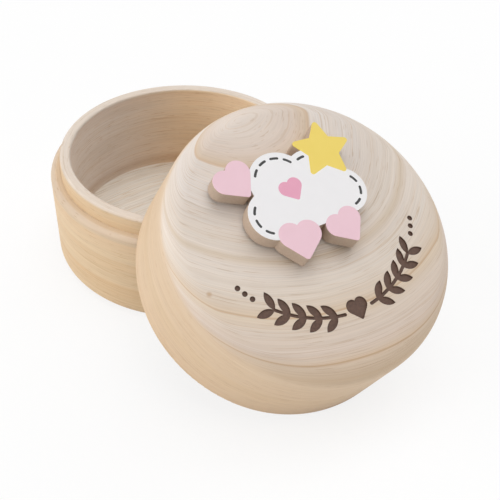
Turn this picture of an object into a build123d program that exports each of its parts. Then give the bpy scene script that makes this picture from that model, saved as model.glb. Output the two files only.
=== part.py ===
from build123d import *
from math import asin, cos, degrees, radians, sin, sqrt
import os

# A small round keepsake box, turned from pale wood, in millimetres.
# The cup stands open on the table. Its tall domed lid leans against it, hooked over the cup's near
# wall, with the lowest edge of its skirt on the table. A board cut to a cloud, a star and hearts is
# glued to the lid, and a leafy garland is burnt into the wood below it.
# +Z is up, and the origin is the middle of the cup's underside. The lid leans towards -Y.

# The turned pair
outer_radius = 35.0
ledge_width = 2.7
rim_wall = 2.7
rim_round = 0.6

# The cup
body_height = 25.8
spigot_height = 4.6
floor_thickness = 6.5
foot_taper = 1.0
foot_round = 4.0
ledge_round = 1.5
floor_round = 1.5

# The lid
lid_height = 29.0
crown_rise = 2.5
shoulder_round = 5.0
roof_thickness = 13.0
roof_round = 2.0
skirt_round = 0.8
mouth_round = 0.4
spigot_clearance = 0.3
seat_clearance = 0.4

# How the lid leans: from the cup's wall to the middle of the lid's mouth, and the air under the skirt
straddle = 8.1
rest_gap = 0.25

# The cut board and its print
motif_width = 34.0
motif_up = 8.4
motif_aside = 1.6
board_thickness = 3.8
print_thickness = 0.2
stitch_inset = 1.5
stitch_length = 1.6
stitch_step = 3.2
stitch_width = 0.6
glue_radius = 8.5
glue_thickness = 0.3

# The garland burnt into the lid
engraving_depth = 0.4
garland_radius = 26.2
garland_up = 6.5
garland_half_angle = 65.0
stem_width = 0.8
leaf_length = 4.5
leaf_width = 1.9
leaf_angle = 40.0
leaf_pairs = 5
first_leaf_angle = 12.0
heart_width = 5.4
bead_radius = 0.65
bead_step_angle = 4.4
beads = 3

# Sizes that follow from these
spigot_radius = outer_radius - ledge_width
bore_radius = spigot_radius - rim_wall
cup_height = body_height + spigot_height
foot_radius = outer_radius - foot_taper
recess_radius = spigot_radius + spigot_clearance
recess_depth = spigot_height + seat_clearance
hollow_top = lid_height - roof_thickness
crown_radius = (outer_radius**2 + crown_rise**2) / (2 * crown_rise)
mouth_distance = outer_radius + straddle


def mouth_height(tilt):
    """Height of the middle of the lid's mouth when its lowest edge is on the table."""
    reach = outer_radius - skirt_round
    return skirt_round + reach * sin(tilt) - skirt_round * cos(tilt)


def crossing_height(tilt):
    """Height of the mouth's inner edge where it crosses over the outer edge of the cup's rim."""
    a = (recess_radius * sin(tilt)) ** 2
    b = 2 * mouth_distance * recess_radius * cos(tilt)
    c = mouth_distance**2 + recess_radius**2 - spigot_radius**2
    along = min(1, (sqrt(b * b + 4 * a * c) - b) / (2 * a))
    return mouth_height(tilt) + recess_radius * along * sin(tilt)


def resting_tilt():
    """Tilt of the lid, in radians, at which its mouth just clears the cup's rim."""
    low, high = radians(5), radians(80)
    for step in range(60):
        middle = (low + high) / 2
        if crossing_height(middle) < cup_height + rest_gap:
            low = middle
        else:
            high = middle
    return high


tilt = resting_tilt()
mouth = Vector(0, -mouth_distance, mouth_height(tilt))


def leaning_plane(along, out, angle):
    """A plane tilted towards -Y, its origin measured from the mouth, uphill and along the lid's axis."""
    uphill = Vector(0, cos(tilt), sin(tilt))
    outward = Vector(0, -sin(tilt), cos(tilt))
    origin = mouth + uphill * along + outward * out
    return Plane(origin=origin, x_dir=(1, 0, 0), z_dir=(0, -sin(angle), cos(angle)))


lid_plane = leaning_plane(0, 0, tilt)
lid_section = Plane(origin=mouth, x_dir=(1, 0, 0), z_dir=(0, -cos(tilt), -sin(tilt)))
lid_axis = Axis(mouth, lid_plane.z_dir)
print(f"lid tilt {degrees(tilt):.2f} degrees, mouth {mouth.Y:.2f} {mouth.Z:.2f}")


def round_corner(section, across, up, radius):
    """Rounds the corner of a section that lies nearest to a point."""
    fillet(section.vertices().sort_by_distance((across, up))[0], radius)


# The cup: a turned blank with a straight bore, and a spigot that stands above a soft ledge
with BuildPart() as cup:
    with BuildSketch(Plane.XZ) as cup_section:
        with BuildLine():
            Polyline(
                (0, 0), (foot_radius, 0), (outer_radius, body_height), (spigot_radius, body_height),
                (spigot_radius, cup_height), (bore_radius, cup_height), (bore_radius, floor_thickness),
                (0, floor_thickness), close=True,
            )
        make_face()
        round_corner(cup_section, foot_radius, 0, foot_round)
        round_corner(cup_section, outer_radius, body_height, ledge_round)
        round_corner(cup_section, spigot_radius, cup_height, rim_round)
        round_corner(cup_section, bore_radius, cup_height, rim_round)
        round_corner(cup_section, bore_radius, floor_thickness, floor_round)
    revolve(axis=Axis.Z)
cup.part.label = "cup"

# The lid's blank: a domed top with a large round shoulder, hollow below, its mouth recessed for the spigot
with BuildPart() as lid_blank:
    with BuildSketch(lid_section) as lid_profile:
        with BuildLine():
            Polyline(
                (0, lid_height), (0, hollow_top), (bore_radius, hollow_top), (bore_radius, recess_depth),
                (recess_radius, recess_depth), (recess_radius, 0), (outer_radius, 0),
                (outer_radius, lid_height - crown_rise),
            )
            RadiusArc((outer_radius, lid_height - crown_rise), (0, lid_height), -crown_radius)
        make_face()
        round_corner(lid_profile, outer_radius, lid_height - crown_rise, shoulder_round)
        round_corner(lid_profile, outer_radius, 0, skirt_round)
        round_corner(lid_profile, recess_radius, 0, mouth_round)
        round_corner(lid_profile, bore_radius, hollow_top, roof_round)
    revolve(axis=lid_axis)


def heart(width):
    """A heart on the drawing plane, its point down and its middle at the origin."""
    side = width / (1 + 1 / sqrt(2))
    with BuildSketch() as shape:
        Rectangle(side, side, rotation=45)
        with Locations(*[(turn * side / sqrt(8), side / sqrt(8)) for turn in (-1, 1)]):
            Circle(side / 2)
        fillet(shape.vertices().sort_by(Axis.Y)[0], side / 8)
    return shape.sketch


def leaf(length, width):
    """A pointed leaf on the drawing plane, from its foot at the origin along +X."""
    with BuildSketch() as shape:
        with BuildLine():
            ThreePointArc((0, 0), (length / 2, width / 2), (length, 0))
            ThreePointArc((length, 0), (length / 2, -width / 2), (0, 0))
        make_face()
    return shape.sketch


def on_garland(angle):
    """A point of the garland's line, by its angle from straight downhill, seen from above the lid."""
    return (garland_radius * sin(radians(angle)), garland_up - garland_radius * cos(radians(angle)))


# The garland: on each side a curved stem with pairs of leaves and a few beads, and a heart between
leaf_reach_angle = degrees(leaf_length * cos(radians(leaf_angle)) / garland_radius)
last_leaf_angle = garland_half_angle - beads * bead_step_angle - leaf_reach_angle
leaf_step_angle = (last_leaf_angle - first_leaf_angle) / (leaf_pairs - 1)
with BuildSketch(lid_plane.offset(lid_height)) as garland:
    with Locations(on_garland(0)):
        add(heart(heart_width))
    for side in (-1, 1):
        with BuildLine(mode=Mode.PRIVATE) as stem:
            ThreePointArc(*[
                on_garland(side * angle)
                for angle in (first_leaf_angle - leaf_step_angle / 2, last_leaf_angle / 2, last_leaf_angle)
            ])
        SlotArc(stem.line.edge(), stem_width)
        for pair in range(leaf_pairs):
            angle = side * (first_leaf_angle + pair * leaf_step_angle)
            heading = angle if side > 0 else angle + 180
            for spread in (-leaf_angle, leaf_angle):
                with Locations(Location(on_garland(angle), heading + spread)):
                    add(leaf(leaf_length, leaf_width))
        for bead in range(beads):
            with Locations(on_garland(side * (garland_half_angle - bead * bead_step_angle))):
                Circle(bead_radius)

# The lid: the garland is cut down to a copy of the dome that lies an engraving's depth lower
with BuildPart() as garland_cut:
    add(garland.sketch)
    extrude(amount=-(crown_rise + engraving_depth))
    add(lid_blank.part.moved(Location(lid_plane.z_dir * -engraving_depth)), mode=Mode.SUBTRACT)
with BuildPart() as lid:
    add(lid_blank.part)
    add(garland_cut.part, mode=Mode.SUBTRACT)
lid.part.label = "lid"

# The motif, drawn flat: its places and radii are shares of its width
cloud_lobe_shares = ((-0.26, -0.09, 0.175), (-0.10, 0.10, 0.22), (0.14, 0.07, 0.19), (0.29, -0.10, 0.165))
cloud_base_share = -0.265
star_place_share = (0.30, 0.215)
star_outer_share, star_inner_share, star_round_share = 0.235, 0.118, 0.02
heart_shares = ((-0.38, 0.19, 0.29, 18), (-0.17, -0.33, 0.30, -10), (0.18, -0.35, 0.27, 12))
small_heart_share = (-0.05, 0.015, 0.175, 8)
stitch_rows = ((188, 3), (92, 4), (98, 1), (-20, 3))


def star(outer, inner, rounding):
    """A five-pointed star with rounded tips, on the drawing plane."""
    points = []
    for k in range(10):
        reach, angle = (outer, inner)[k % 2], radians(90 + 36 * k)
        points.append((reach * cos(angle), reach * sin(angle)))
    with BuildSketch() as shape:
        with BuildLine():
            Polyline(*points, close=True)
        make_face()
        tips = [shape.vertices().sort_by_distance(point)[0] for point in points[::2]]
        fillet(tips, rounding)
    return shape.sketch


with BuildSketch() as cloud_shape:
    for across, up, radius in cloud_lobe_shares:
        with Locations((across * motif_width, up * motif_width)):
            Circle(radius * motif_width)
    lobe_middles = [(across * motif_width, up * motif_width) for across, up, radius in cloud_lobe_shares]
    base_corners = [(middle[0], cloud_base_share * motif_width) for middle in (lobe_middles[-1], lobe_middles[0])]
    with BuildLine():
        Polyline(*lobe_middles, *base_corners, close=True)
    make_face()

with BuildSketch() as star_shape:
    with Locations(Location(tuple(share * motif_width for share in star_place_share), -14)):
        add(star(*[share * motif_width for share in (star_outer_share, star_inner_share, star_round_share)]))



def placed_hearts(shares):
    """Hearts on the drawing plane, each by its place, its width and its turn."""
    with BuildSketch() as shape:
        for across, up, width, turn in shares:
            with Locations(Location((across * motif_width, up * motif_width), turn)):
                add(heart(width * motif_width))
    return shape


heart_shapes = placed_hearts(heart_shares)
small_heart_shape = placed_hearts([small_heart_share])

# Stitches follow each lobe just inside its edge, by their middle angle and their number
with BuildSketch() as stitch_shapes:
    for lobe, (middle_angle, stitches) in zip(cloud_lobe_shares, stitch_rows):
        across, up, radius = [share * motif_width for share in lobe]
        reach = radius - stitch_inset
        span, step = degrees(stitch_length / reach), degrees(stitch_step / reach)
        for stitch in range(stitches):
            angle = middle_angle + (stitch - (stitches - 1) / 2) * step
            with BuildLine(mode=Mode.PRIVATE) as stitch_line:
                CenterArc((across, up), reach, angle - span / 2, span)
            SlotArc(stitch_line.line.edge(), stitch_width)

# The board lies flat on the dome, so its plane turns back by the dome's slope at its middle
slope = asin(motif_up / crown_radius)
dome_height = lid_height - crown_radius * (1 - cos(slope))
glue_plane = leaning_plane(motif_up, dome_height, tilt - slope)
board_plane = Plane(glue_plane.from_local_coords(Vector(-motif_aside, 0, glue_thickness)), (1, 0, 0), glue_plane.z_dir)
print_plane = board_plane.offset(board_thickness)

# The board: one outline round the cloud, the star and the hearts
with BuildPart() as cloud_board:
    with BuildSketch(board_plane):
        add(cloud_shape.sketch)
        add(star_shape.sketch)
        add(heart_shapes.sketch)
    extrude(amount=board_thickness)
cloud_board.part.label = "cloud_board"

# The glue: a round spot that fills the space between the flat board and the dome
with BuildPart() as glue_spot:
    with BuildSketch(board_plane):
        Circle(glue_radius)
    extrude(amount=-(glue_thickness + crown_rise))
    add(lid.part, mode=Mode.SUBTRACT)
glue_spot.part.label = "glue_spot"


def printed(name, shape, *gaps):
    """A layer of ink on the board: a drawn shape without the shapes that are printed over it."""
    with BuildPart() as layer:
        with BuildSketch(print_plane):
            add(shape.sketch)
            for gap in gaps:
                add(gap.sketch, mode=Mode.SUBTRACT)
        extrude(amount=print_thickness)
    layer.part.label = name
    return layer.part


# The print: each colour is its own layer, and they lie side by side on the board
pieces = [
    cup.part, lid.part, glue_spot.part, cloud_board.part,
    printed("cloud_print", cloud_shape, star_shape, heart_shapes, small_heart_shape, stitch_shapes),
    printed("star_print", star_shape),
    printed("heart_print", heart_shapes, star_shape),
    printed("small_heart_print", small_heart_shape),
    printed("stitch_print", stitch_shapes),
]

os.makedirs("parts", exist_ok=True)
for piece in pieces:
    export_step(piece, f"parts/{piece.label}.step")
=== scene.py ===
import math

import bpy
from mathutils import Matrix, Vector

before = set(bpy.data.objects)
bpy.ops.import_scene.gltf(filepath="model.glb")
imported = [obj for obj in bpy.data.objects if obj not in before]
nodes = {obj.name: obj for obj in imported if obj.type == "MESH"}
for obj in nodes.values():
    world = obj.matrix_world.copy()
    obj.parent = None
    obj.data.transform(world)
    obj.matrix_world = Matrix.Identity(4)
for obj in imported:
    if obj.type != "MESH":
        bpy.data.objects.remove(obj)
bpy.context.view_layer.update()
bpy.ops.object.select_all(action="DESELECT")

# Camera
# An 85 mm lens a third of a metre away, above and to the left of the lid, as the photograph was taken.
# Its place was worked out from the outlines of the cup's rim and of the lid.
millimetre = 0.001
lens_length, sensor_width, nearest_seen = 85, 36, 10 * millimetre
camera_place = Vector((-129.8, -221.5, 204.7)) * millimetre
camera_pitch, camera_turn, camera_roll = 39.03, -34.40, 1.81

camera = bpy.data.objects.new("camera", bpy.data.cameras.new("camera"))
bpy.context.collection.objects.link(camera)
camera.data.lens = lens_length
camera.data.sensor_width = sensor_width
camera.data.clip_start = nearest_seen
camera.matrix_world = (
    Matrix.Translation(camera_place)
    @ Matrix.Rotation(math.radians(camera_turn), 4, "Z")
    @ Matrix.Rotation(math.radians(90 - camera_pitch), 4, "X")
    @ Matrix.Rotation(math.radians(camera_roll), 4, "Z")
)
bpy.context.scene.camera = camera
bpy.context.scene.view_settings.view_transform = "Standard"

# Floor
# A matt white table that runs out of the picture on all sides. The camera and all reflections see it
# as plain white with the box's shadow on it, and it throws its light back up on the box.
floor_half = 3.0
table_white = "#fcfcfc"
shadow_share = 0.18


def linear(colour):
    """An sRGB hex colour as linear red, green, blue and alpha."""
    parts = [int(colour[k:k + 2], 16) / 255 for k in (1, 3, 5)]
    return [c / 12.92 if c <= 0.04045 else ((c + 0.055) / 1.055) ** 2.4 for c in parts] + [1.0]


def add_node(tree, kind, inputs=(), **settings):
    """Adds a node with its settings, and gives its inputs their values or the sockets that feed them."""
    node = tree.nodes.new(kind)
    for name, value in settings.items():
        setattr(node, name, value)
    for name, value in dict(inputs).items():
        if isinstance(value, bpy.types.NodeSocket):
            tree.links.new(value, node.inputs[name])
        else:
            node.inputs[name].default_value = value
    return node


def new_material(name):
    """An empty material and its node tree."""
    material = bpy.data.materials.new(name)
    material.use_nodes = True
    material.node_tree.nodes.clear()
    return material, material.node_tree


def looked_at(tree):
    """1 where the camera, a reflection or a look through glass meets the background, 0 for its light."""
    rays = add_node(tree, "ShaderNodeLightPath").outputs
    seen = rays["Is Camera Ray"]
    for ray in ("Is Glossy Ray", "Is Transmission Ray"):
        seen = add_node(tree, "ShaderNodeMath", {0: seen, 1: rays[ray]}, operation="MAXIMUM").outputs[0]
    return seen


white_table, tree = new_material("white_table")
lit = add_node(tree, "ShaderNodeBsdfDiffuse", {"Color": linear(table_white)}).outputs[0]
glow = add_node(tree, "ShaderNodeEmission", {"Color": linear("#ffffff"), "Strength": 1.0}).outputs[0]
seen = add_node(tree, "ShaderNodeMixShader", {0: 1 - shadow_share, 1: lit, 2: glow}).outputs[0]
shown = add_node(tree, "ShaderNodeMixShader", {0: looked_at(tree), 1: lit, 2: seen})
add_node(tree, "ShaderNodeOutputMaterial", {"Surface": shown.outputs[0]})

bpy.ops.mesh.primitive_plane_add(size=2 * floor_half, location=(0, 0, 0))
floor = bpy.context.object
floor.name = "floor"
floor.data.materials.append(white_table)
bpy.ops.object.select_all(action="DESELECT")

# Light
# A bright white studio: an even sky and three wide soft lamps, one low on the left, one overhead and a
# weaker one on the right, so that the left walls are the brightest and the cup's inside lies in shade.
sky_strength = 0.38
degrees_wide = 50
lamps = {
    "left_lamp": ((-0.9, 0.3, 0.3), 1.50),
    "top_lamp": ((0.0, 0.0, 1.0), 1.08),
    "right_lamp": ((0.7, 0.1, 0.7), 0.50),
}

world = bpy.data.worlds.new("studio")
bpy.context.scene.world = world
world.use_nodes = True
tree = world.node_tree
tree.nodes.clear()
sky = add_node(tree, "ShaderNodeBackground", {"Color": linear("#ffffff"), "Strength": sky_strength})
backdrop = add_node(tree, "ShaderNodeBackground", {"Color": linear("#ffffff"), "Strength": 1.0})
shown = add_node(tree, "ShaderNodeMixShader", {
    0: looked_at(tree), 1: sky.outputs[0], 2: backdrop.outputs[0],
})
add_node(tree, "ShaderNodeOutputWorld", {"Surface": shown.outputs[0]})

for name, (comes_from, strength) in lamps.items():
    lamp = bpy.data.objects.new(name, bpy.data.lights.new(name, "SUN"))
    bpy.context.collection.objects.link(lamp)
    lamp.data.energy = strength
    lamp.data.angle = math.radians(degrees_wide)
    lamp.rotation_euler = Vector(comes_from).to_track_quat("Z", "Y").to_euler()

# Cup
# The lower half of the box, turned from one block of rubberwood on a lathe and fine-sanded, with no
# varnish: pale and matt to the eye. Its fibres show as level lines on the walls, as circles on the rim
# and nearly straight on the floor, with short open pores among them.
rubberwood_ior, sanded_roughness = 1.5, 0.58
pore_relief, relief_strength = 0.05, 0.4

# Growth layers wander slowly, and in shorter ripples: how far apart and how deep, in millimetres
wobble_size, wobble_depth = 30.0, 1.2
ripple_size, ripple_depth = 6.0, 0.22

# Lengths round the heart, which hold at length_reach from it, and widths across the layers, in
# millimetres. Real fibres are 0.02 mm wide and real pores 0.15 mm, too fine to show in the picture, so
# they are drawn as coarse as they need to show.
length_reach = 40.0
bundle_length, bundle_width = 30.0, 1.6
fibre_length, fibre_width, fibre_roughness = 16.0, 0.27, 0.62
vein_length, vein_width = 34.0, 0.34
pore_length, pore_width = 4.5, 0.22

# The noise values between which each comes out, and its part in the colour. Near the heart they all
# fade to calm_share.
bundle_span, bundle_share, bundle_tint = (0.38, 0.72), 0.45, "#f0e6d9"
fibre_span, fibre_share = (0.28, 0.72), 0.08
vein_span = (0.58, 0.68)
pore_span, pore_share, pore_tint = (0.62, 0.70), 0.8, "#e3d2bd"
calm_reach, calm_share = (6.0, 26.0), 0.3

# A Mix node's sockets go by number, because their names repeat: the share, two colours, the result
mix_share, mix_first, mix_second, mix_result = 0, 6, 7, 2


def in_millimetres(tree, origin, tilt):
    """A turned piece's own millimetres, from the middle of its foot or mouth, upright along its axis."""
    place = add_node(tree, "ShaderNodeTexCoord")
    local = add_node(tree, "ShaderNodeMapping", {
        "Vector": place.outputs["Object"], "Location": origin, "Rotation": (tilt, 0, 0),
        "Scale": (millimetre,) * 3,
    }, vector_type="TEXTURE")
    return local.outputs[0]


def from_axis(tree, local, middle=(0, 0)):
    """The level vector to a place from an upright line, and its length."""
    off = add_node(tree, "ShaderNodeVectorMath", {0: local, 1: (*middle, 0)}, operation="SUBTRACT")
    level = add_node(tree, "ShaderNodeVectorMath", {
        0: off.outputs[0], 1: (1, 1, 0),
    }, operation="MULTIPLY").outputs[0]
    reach = add_node(tree, "ShaderNodeVectorMath", {0: level}, operation="LENGTH")
    return level, reach.outputs["Value"]


def grain(tree, local, tones, contrast, seed, heart=(0, 0), upward=1, start=0, by_height=False):
    """Colour and relief of bare wood whose fibres run round an upright line at heart.

    Its growth layers are counted in millimetres: start, plus the distance from heart, plus upward times
    the height. tones are the wood's colours at some layers, or at some heights, and contrast is how
    strongly the fibres, veins and pores stand out from them.
    """
    level, distance = from_axis(tree, local, heart)
    height = add_node(tree, "ShaderNodeSeparateXYZ", {0: local}).outputs["Z"]
    middle = start - wobble_depth - ripple_depth
    raised = add_node(tree, "ShaderNodeMath", {
        0: height, 1: upward, 2: middle,
    }, operation="MULTIPLY_ADD").outputs[0]
    layer = add_node(tree, "ShaderNodeMath", {0: distance, 1: raised}, operation="ADD").outputs[0]
    for size, depth, w in ((wobble_size, wobble_depth, seed), (ripple_size, ripple_depth, seed + 1)):
        wander = add_node(tree, "ShaderNodeTexNoise", {
            "Vector": local, "W": w, "Scale": 1 / size, "Detail": 1.0,
        }, noise_dimensions="4D").outputs["Fac"]
        layer = add_node(tree, "ShaderNodeMath", {
            0: wander, 1: 2 * depth, 2: layer,
        }, operation="MULTIPLY_ADD").outputs[0]

    # Growth rings: the colours from layer to layer, or from height to height
    first, last = tones[0][0], tones[-1][0]
    share = add_node(tree, "ShaderNodeMapRange", {
        "Value": height if by_height else layer, "From Min": first, "From Max": last,
    }).outputs[0]
    ramp = add_node(tree, "ShaderNodeValToRGB", {"Fac": share})
    stops = ramp.color_ramp.elements
    stops[0].color = linear(tones[0][1])
    stops[-1].color = linear(tones[-1][1])
    for place, colour in tones[1:-1]:
        stops.new((place - first) / (last - first)).color = linear(colour)
    rings = ramp.outputs["Color"]

    # Fibres and pores: long in the direction round the heart, thin across the layers
    round_it = add_node(tree, "ShaderNodeVectorMath", {0: level}, operation="NORMALIZE").outputs[0]

    def drawn_out(length, width, detail, w):
        """Noise whose spots are that long round the heart and that wide across the layers."""
        along = add_node(tree, "ShaderNodeVectorMath", {
            0: round_it, "Scale": length_reach / length,
        }, operation="SCALE").outputs[0]
        thin = add_node(tree, "ShaderNodeMath", {0: layer, 1: width}, operation="DIVIDE").outputs[0]
        across = add_node(tree, "ShaderNodeCombineXYZ", {"Z": thin}).outputs[0]
        spot = add_node(tree, "ShaderNodeVectorMath", {0: along, 1: across}, operation="ADD").outputs[0]
        return add_node(tree, "ShaderNodeTexNoise", {
            "Vector": spot, "W": w, "Scale": 1.0, "Detail": detail, "Roughness": fibre_roughness,
        }, noise_dimensions="4D").outputs["Fac"]

    bundles = drawn_out(bundle_length, bundle_width, detail=2.0, w=seed + 2)
    fibres = drawn_out(fibre_length, fibre_width, detail=1.5, w=seed + 3)
    veins = add_node(tree, "ShaderNodeMapRange", {
        "Value": drawn_out(vein_length, vein_width, detail=1.0, w=seed + 4),
        "From Min": vein_span[0], "From Max": vein_span[1],
    }, interpolation_type="SMOOTHSTEP").outputs[0]
    pores = add_node(tree, "ShaderNodeMapRange", {
        "Value": drawn_out(pore_length, pore_width, detail=1.0, w=seed + 5),
        "From Min": pore_span[0], "From Max": pore_span[1],
    }, interpolation_type="SMOOTHSTEP").outputs[0]

    # Bundles of fibres, veins and pores differ in warmth as well as in tone, single fibres only in tone
    warm = add_node(tree, "ShaderNodeMapRange", {
        "Value": bundles, "From Min": bundle_span[0], "From Max": bundle_span[1], "To Max": bundle_share,
    }).outputs[0]
    warm = add_node(tree, "ShaderNodeMath", {0: warm, 1: veins}, operation="MAXIMUM").outputs[0]
    warm = add_node(tree, "ShaderNodeMath", {0: warm, 1: contrast}, operation="MULTIPLY").outputs[0]
    banded = add_node(tree, "ShaderNodeMix", {
        mix_share: warm, mix_first: rings, mix_second: linear(bundle_tint),
    }, data_type="RGBA", blend_type="MULTIPLY").outputs[mix_result]
    fine = add_node(tree, "ShaderNodeMapRange", {
        "Value": fibres, "From Min": fibre_span[0], "From Max": fibre_span[1],
        "To Min": 1 - fibre_share * contrast, "To Max": 1 + fibre_share * contrast,
    }).outputs[0]
    lined = add_node(tree, "ShaderNodeVectorMath", {
        0: banded, "Scale": fine,
    }, operation="SCALE").outputs[0]
    pitted = add_node(tree, "ShaderNodeMath", {
        0: pores, 1: pore_share * contrast,
    }, operation="MULTIPLY").outputs[0]
    figured = add_node(tree, "ShaderNodeMix", {
        mix_share: pitted, mix_first: lined, mix_second: linear(pore_tint),
    }, data_type="RGBA", blend_type="MULTIPLY").outputs[mix_result]

    # Close to the heart the fibres, veins and pores are fainter
    strength = add_node(tree, "ShaderNodeMapRange", {
        "Value": distance, "From Min": calm_reach[0], "From Max": calm_reach[1], "To Min": calm_share,
    }).outputs[0]
    colour = add_node(tree, "ShaderNodeMix", {
        mix_share: strength, mix_first: rings, mix_second: figured,
    }, data_type="RGBA").outputs[mix_result]
    relief = add_node(tree, "ShaderNodeMath", {0: fibres, 1: pores}, operation="SUBTRACT").outputs[0]
    relief = add_node(tree, "ShaderNodeMath", {0: relief, 1: strength}, operation="MULTIPLY").outputs[0]
    return colour, relief


def beside(tree, share, first, second):
    """The colour and relief of second where share is 1, and of first where it is 0."""
    colour = add_node(tree, "ShaderNodeMix", {
        mix_share: share, mix_first: first[0], mix_second: second[0],
    }, data_type="RGBA").outputs[mix_result]
    relief = add_node(tree, "ShaderNodeMix", {
        mix_share: share, 2: first[1], 3: second[1],
    }, data_type="FLOAT").outputs[0]
    return colour, relief


def surface(tree, colour, roughness, ior, relief=None, depth=0.0, strength=1.0):
    """Ends a material with that colour and gloss, and with that relief, depth millimetres deep."""
    sockets = {"Base Color": colour, "Roughness": roughness, "IOR": ior}
    if relief is not None:
        sockets["Normal"] = add_node(tree, "ShaderNodeBump", {
            "Strength": strength, "Distance": depth * millimetre, "Height": relief,
        }).outputs[0]
    shader = add_node(tree, "ShaderNodeBsdfPrincipled", sockets)
    add_node(tree, "ShaderNodeOutputMaterial", {"Surface": shader.outputs[0]})


# The wood's colours at heights above the foot, in millimetres, with end grain at the rim
outside_tones = [
    (0.0, "#d8b88f"), (4.0, "#dcc19c"), (9.0, "#d8b991"), (10.0, "#ddc4a1"), (17.0, "#dabd97"),
    (18.0, "#dec5a2"), (23.4, "#ddc09c"), (24.3, "#d6bea1"), (25.6, "#d5c0a9"), (25.75, "#dbc7b1"),
    (25.85, "#dbc09b"), (26.4, "#ddc09a"), (29.4, "#dec39e"), (29.9, "#d9c5ae"), (30.25, "#dbcdbf"),
    (30.38, "#e1d4c7"),
]
inside_tones = [
    (6.0, "#cfbba6"), (7.3, "#d4c0ad"), (8.3, "#e4d3c5"), (10.0, "#eee3da"), (18.0, "#ebe0d6"),
    (24.0, "#f2e8df"), (28.8, "#f2e6dc"), (29.9, "#ebdfd4"), (30.2, "#e3d7cb"), (30.4, "#e1d4c7"),
]

# Across the floor the layers go by the distance from the block's heart, which lies outside the cup
floor_heart = (-4, -42)
floor_tones = [
    (12.0, "#e8e3da"), (28.0, "#e6dfd5"), (44.0, "#eae5dc"), (56.0, "#e6dfd5"), (74.0, "#e8e3da"),
]

# Where one look gives way to the next: distances from the axis, then heights. The foot is warmer.
wall_middle, floor_edge = (30.0, 31.0), (28.8, 28.4)
foot_edge, rim_edge = (0.5, 0.1), (30.35, 30.0)
foot_tint = "#f6eadc"

# Painted light inside the cup: a cool grey painted shade on the left of the inner wall, which lies in
# shade, drifting to painted warm bounce light on the right
shade_drift_way, shade_drift_span = (0.82, -0.57, 0), (-24.0, 2.0)
painted_cool_shade, painted_warm_light = "#f1f3f6", "#ffeed2"

cup_wood, tree = new_material("turned_rubberwood_cup")
local = in_millimetres(tree, (0, 0, 0), 0)
reach = from_axis(tree, local)[1]
height = add_node(tree, "ShaderNodeSeparateXYZ", {0: local}).outputs["Z"]
outside = grain(tree, local, outside_tones, contrast=0.7, seed=12.0, by_height=True)
inside = grain(tree, local, inside_tones, contrast=0.8, seed=20.0, by_height=True)
floor_grain = grain(tree, local, floor_tones, contrast=1.4, seed=2.0, heart=floor_heart, upward=0)

# The wall's two faces, the inner one tinted below the rim with painted shade on the left and painted
# warm light on the right
sideways = add_node(tree, "ShaderNodeVectorMath", {0: local, 1: shade_drift_way}, operation="DOT_PRODUCT")
warm_light_share = add_node(tree, "ShaderNodeMapRange", {
    "Value": sideways.outputs["Value"], "From Min": shade_drift_span[0], "From Max": shade_drift_span[1],
}, interpolation_type="SMOOTHSTEP").outputs[0]
painted_side_light = add_node(tree, "ShaderNodeMix", {
    mix_share: warm_light_share, mix_first: linear(painted_cool_shade), mix_second: linear(painted_warm_light),
}, data_type="RGBA").outputs[mix_result]
below_rim = add_node(tree, "ShaderNodeMapRange", {
    "Value": height, "From Min": rim_edge[0], "From Max": rim_edge[1],
}, interpolation_type="SMOOTHSTEP").outputs[0]
# Painted shade and painted light multiplied into the inner wall below the rim
inside_with_painted_light = add_node(tree, "ShaderNodeMix", {
    mix_share: below_rim, mix_first: inside[0], mix_second: painted_side_light,
}, data_type="RGBA", blend_type="MULTIPLY").outputs[mix_result]
outer = add_node(tree, "ShaderNodeMapRange", {
    "Value": reach, "From Min": wall_middle[0], "From Max": wall_middle[1],
}, interpolation_type="SMOOTHSTEP").outputs[0]
wall = beside(tree, outer, (inside_with_painted_light, inside[1]), outside)

# The floor and the underside, the latter warmer
on_floor = add_node(tree, "ShaderNodeMapRange", {
    "Value": reach, "From Min": floor_edge[0], "From Max": floor_edge[1],
}, interpolation_type="SMOOTHSTEP").outputs[0]
on_foot = add_node(tree, "ShaderNodeMapRange", {
    "Value": height, "From Min": foot_edge[0], "From Max": foot_edge[1],
}, interpolation_type="SMOOTHSTEP").outputs[0]
level_part = add_node(tree, "ShaderNodeMath", {0: on_floor, 1: on_foot}, operation="MAXIMUM").outputs[0]
level_wood = add_node(tree, "ShaderNodeMix", {
    mix_share: on_foot, mix_first: floor_grain[0], mix_second: linear(foot_tint),
}, data_type="RGBA", blend_type="MULTIPLY").outputs[mix_result]
wood, relief = beside(tree, level_part, wall, (level_wood, floor_grain[1]))
surface(tree, wood, sanded_roughness, rubberwood_ior, relief, pore_relief, relief_strength)
nodes["cup"].data.materials[0] = cup_wood

# Lid
# The upper half, turned from the same rubberwood, pale and matt, with the rings' heart near its upper
# edge. The garland was burnt into its dome by a laser, so all that lies just below the dome's own
# surface there is charred to a warm dark brown.
lid_mouth = Vector((0, -43.10, 18.20)) * millimetre
lid_tilt = math.radians(31.92)
lid_height, dome_radius, dome_reach = 29.0, 246.25, 29.4

# Where the skirt's grain gives way to the dome's: by distance from the axis inside, by height outside
hollow_edge, shoulder = (28.5, 27.5), (23.0, 24.8)

# On the dome the layers are ovals round the heart, and this many go by for each millimetre of height
lid_heart, oval_turn, oval_stretch, layer_dip = (-7.5, 44.5), math.radians(162.4), 1.35, 3.85

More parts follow.
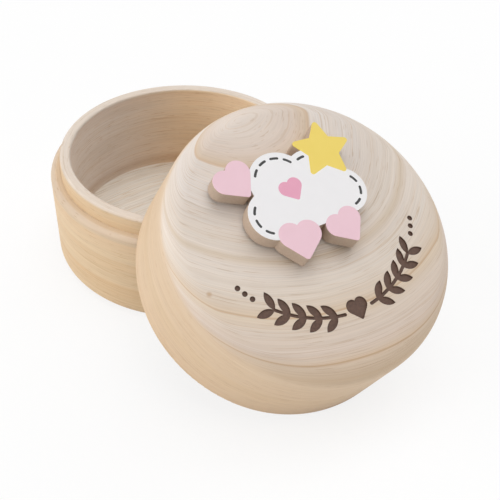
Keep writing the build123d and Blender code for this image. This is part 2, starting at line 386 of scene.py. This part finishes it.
# The wood's colours: layer by layer on the dome, with its dark late-wood lines, by height on the skirt
dome_tones = [
    (10.0, "#e4d8cf"), (20.0, "#e6dad0"), (26.0, "#ddcdc0"), (28.3, "#d7c2ab"), (28.7, "#cfb293"),
    (29.1, "#e5dbd3"), (36.0, "#e3d9d1"), (42.0, "#e2d6cb"), (46.6, "#e4d8cc"), (47.8, "#e9ddd2"),
    (48.6, "#e1d2c2"), (49.4, "#dccbb7"), (51.0, "#e6d9cd"), (57.0, "#e7dbcf"), (62.5, "#e0cfbd"),
    (64.2, "#ddc8b0"), (64.6, "#c9a681"), (65.0, "#e2d0bb"), (69.0, "#e1d1c2"), (76.0, "#dfcec0"),
    (79.3, "#dac4ad"), (79.8, "#c3a17d"), (80.3, "#dcc7b1"), (90.0, "#d9c0a3"),
]
skirt_tones = [
    (0.0, "#d9bc9a"), (5.0, "#dbc0a0"), (12.0, "#d9be9c"), (13.0, "#dbc1a2"), (20.0, "#dbc1a2"),
    (24.0, "#dec6aa"),
]

lid_wood, tree = new_material("turned_rubberwood_lid")
local = in_millimetres(tree, lid_mouth, lid_tilt)
reach = from_axis(tree, local)[1]
height = add_node(tree, "ShaderNodeSeparateXYZ", {0: local}).outputs["Z"]
oval = add_node(tree, "ShaderNodeMapping", {
    "Vector": local, "Location": (*lid_heart, 0), "Rotation": (0, 0, oval_turn),
    "Scale": (oval_stretch, 1, 1),
}, vector_type="TEXTURE").outputs[0]
dome_grain = grain(
    tree, oval, dome_tones, contrast=0.85, seed=5.0, upward=-layer_dip, start=layer_dip * lid_height,
)
skirt_grain = grain(tree, local, skirt_tones, contrast=0.65, seed=15.0, by_height=True)
in_hollow = add_node(tree, "ShaderNodeMapRange", {
    "Value": reach, "From Min": hollow_edge[0], "From Max": hollow_edge[1],
}, interpolation_type="SMOOTHSTEP").outputs[0]
on_top = add_node(tree, "ShaderNodeMapRange", {
    "Value": height, "From Min": shoulder[0], "From Max": shoulder[1],
}, interpolation_type="SMOOTHSTEP").outputs[0]
level_part = add_node(tree, "ShaderNodeMath", {0: in_hollow, 1: on_top}, operation="MAXIMUM").outputs[0]
wood, relief = beside(tree, level_part, skirt_grain, dome_grain)

# A small brown fleck, a bud that the wood grew over
fleck_place = (-30.0, -4.1, lid_height - 1.9)
fleck_edge, fleck_share, fleck_brown = (0.9, 0.2), 0.6, "#c09a72"
to_fleck = add_node(tree, "ShaderNodeVectorMath", {0: local, 1: fleck_place}, operation="DISTANCE")
fleck = add_node(tree, "ShaderNodeMapRange", {
    "Value": to_fleck.outputs["Value"], "From Min": fleck_edge[0], "From Max": fleck_edge[1],
    "To Max": fleck_share,
}, interpolation_type="SMOOTHSTEP").outputs[0]
wood = add_node(tree, "ShaderNodeMix", {
    mix_share: fleck, mix_first: wood, mix_second: linear(fleck_brown),
}, data_type="RGBA").outputs[mix_result]

# The burnt garland: whatever lies a little below the dome's own surface, up to a millimetre
char_brown, char_depth, deepest_cut = "#5d4336", (0.05, 0.14), 1.0
soot_size, soot_span, soot_tones = 0.625, (0.3, 0.7), (0.8, 1.2)
dome_middle = (0, 0, lid_height - dome_radius)
from_middle = add_node(tree, "ShaderNodeVectorMath", {0: local, 1: dome_middle}, operation="DISTANCE")
depth = add_node(tree, "ShaderNodeMath", {
    0: dome_radius, 1: from_middle.outputs["Value"],
}, operation="SUBTRACT").outputs[0]
cut = add_node(tree, "ShaderNodeMapRange", {
    "Value": depth, "From Min": char_depth[0], "From Max": char_depth[1],
}, interpolation_type="SMOOTHSTEP").outputs[0]
shallow = add_node(tree, "ShaderNodeMath", {0: depth, 1: deepest_cut}, operation="LESS_THAN").outputs[0]
on_dome = add_node(tree, "ShaderNodeMath", {0: reach, 1: dome_reach}, operation="LESS_THAN").outputs[0]
burnt = add_node(tree, "ShaderNodeMath", {0: shallow, 1: on_dome}, operation="MULTIPLY").outputs[0]
burnt = add_node(tree, "ShaderNodeMath", {0: burnt, 1: cut}, operation="MULTIPLY").outputs[0]
soot = add_node(tree, "ShaderNodeTexNoise", {"Vector": local, "Scale": 1 / soot_size, "Detail": 4.0})
tone = add_node(tree, "ShaderNodeMapRange", {
    "Value": soot.outputs["Fac"], "From Min": soot_span[0], "From Max": soot_span[1],
    "To Min": soot_tones[0], "To Max": soot_tones[1],
}).outputs[0]
charred = add_node(tree, "ShaderNodeVectorMath", {
    0: linear(char_brown)[:3], "Scale": tone,
}, operation="SCALE").outputs[0]
marked = add_node(tree, "ShaderNodeMix", {
    mix_share: burnt, mix_first: wood, mix_second: charred,
}, data_type="RGBA").outputs[mix_result]
surface(tree, marked, sanded_roughness, rubberwood_ior, relief, pore_relief, relief_strength)
nodes["lid"].data.materials[0] = lid_wood

# Glue
# A spot of clear glue that holds the board on the dome, pressed thin and set. It looks milky and
# smooth, a little glossier than the wood.
glue_ior, glue_roughness = 1.48, 0.3
haze_tones, haze_size = ("#d9cdb4", "#c9b996"), 4.0


def drifting(tree, first, second, size, detail, roughness=0.5):
    """A colour that drifts between two, in spots of size millimetres, and the noise behind it."""
    place = add_node(tree, "ShaderNodeTexCoord").outputs["Object"]
    noise = add_node(tree, "ShaderNodeTexNoise", {
        "Vector": place, "Scale": 1 / (size * millimetre), "Detail": detail, "Roughness": roughness,
    }).outputs["Fac"]
    colour = add_node(tree, "ShaderNodeMix", {
        mix_share: noise, mix_first: linear(first), mix_second: linear(second),
    }, data_type="RGBA").outputs[mix_result]
    return colour, noise


set_glue, tree = new_material("set_clear_glue")
milky = drifting(tree, *haze_tones, haze_size, detail=2.0)[0]
surface(tree, milky, glue_roughness, glue_ior)
nodes["glue_spot"].data.materials[0] = set_glue

# Board
# The cut-out that carries the print, laser-cut from 4 mm medium-density fibreboard and glued on by its
# back. Its bare edge is packed fibres: matt, even and greyish brown.
fibreboard_ior, edge_roughness = 1.5, 0.75
packed_tones, packed_size, packed_roughness = ("#c6b2a0", "#ab947f"), 0.5, 0.6
edge_relief, edge_strength = 0.04, 0.3

cut_board, tree = new_material("laser_cut_fibreboard")
edge_brown, packed = drifting(tree, *packed_tones, packed_size, detail=4.0, roughness=packed_roughness)
surface(tree, edge_brown, edge_roughness, fibreboard_ior, packed, edge_relief, edge_strength)
nodes["cloud_board"].data.materials[0] = cut_board

# Print
# Ultraviolet-cured ink, printed on the board's face in a thin layer of each colour. It gives flat satin
# colours with hardly any change of tone and a faint orange-peel surface.
ink_ior, ink_roughness = 1.5, 0.42
mottle_size, peel_size = 3.0, 0.25
peel_relief, peel_strength = 0.01, 0.12
inks = {
    "cloud_print": ("white_ink_print", "#f6f4f5", "#f2f0f1"),
    "star_print": ("yellow_ink_print", "#f5da6a", "#f1d55f"),
    "heart_print": ("pink_ink_print", "#f3cdd8", "#efc8d3"),
    "small_heart_print": ("rose_ink_print", "#eca8c0", "#e8a0ba"),
    "stitch_print": ("black_ink_print", "#141313", "#1c1a1a"),
}

for node_name, (ink_name, colour, shade) in inks.items():
    ink, tree = new_material(ink_name)
    satin = drifting(tree, colour, shade, mottle_size, detail=3.0)[0]
    place = add_node(tree, "ShaderNodeTexCoord").outputs["Object"]
    peel = add_node(tree, "ShaderNodeTexNoise", {
        "Vector": place, "Scale": 1 / (peel_size * millimetre), "Detail": 2.0,
    }).outputs["Fac"]
    surface(tree, satin, ink_roughness, ink_ior, peel, peel_relief, peel_strength)
    nodes[node_name].data.materials[0] = ink
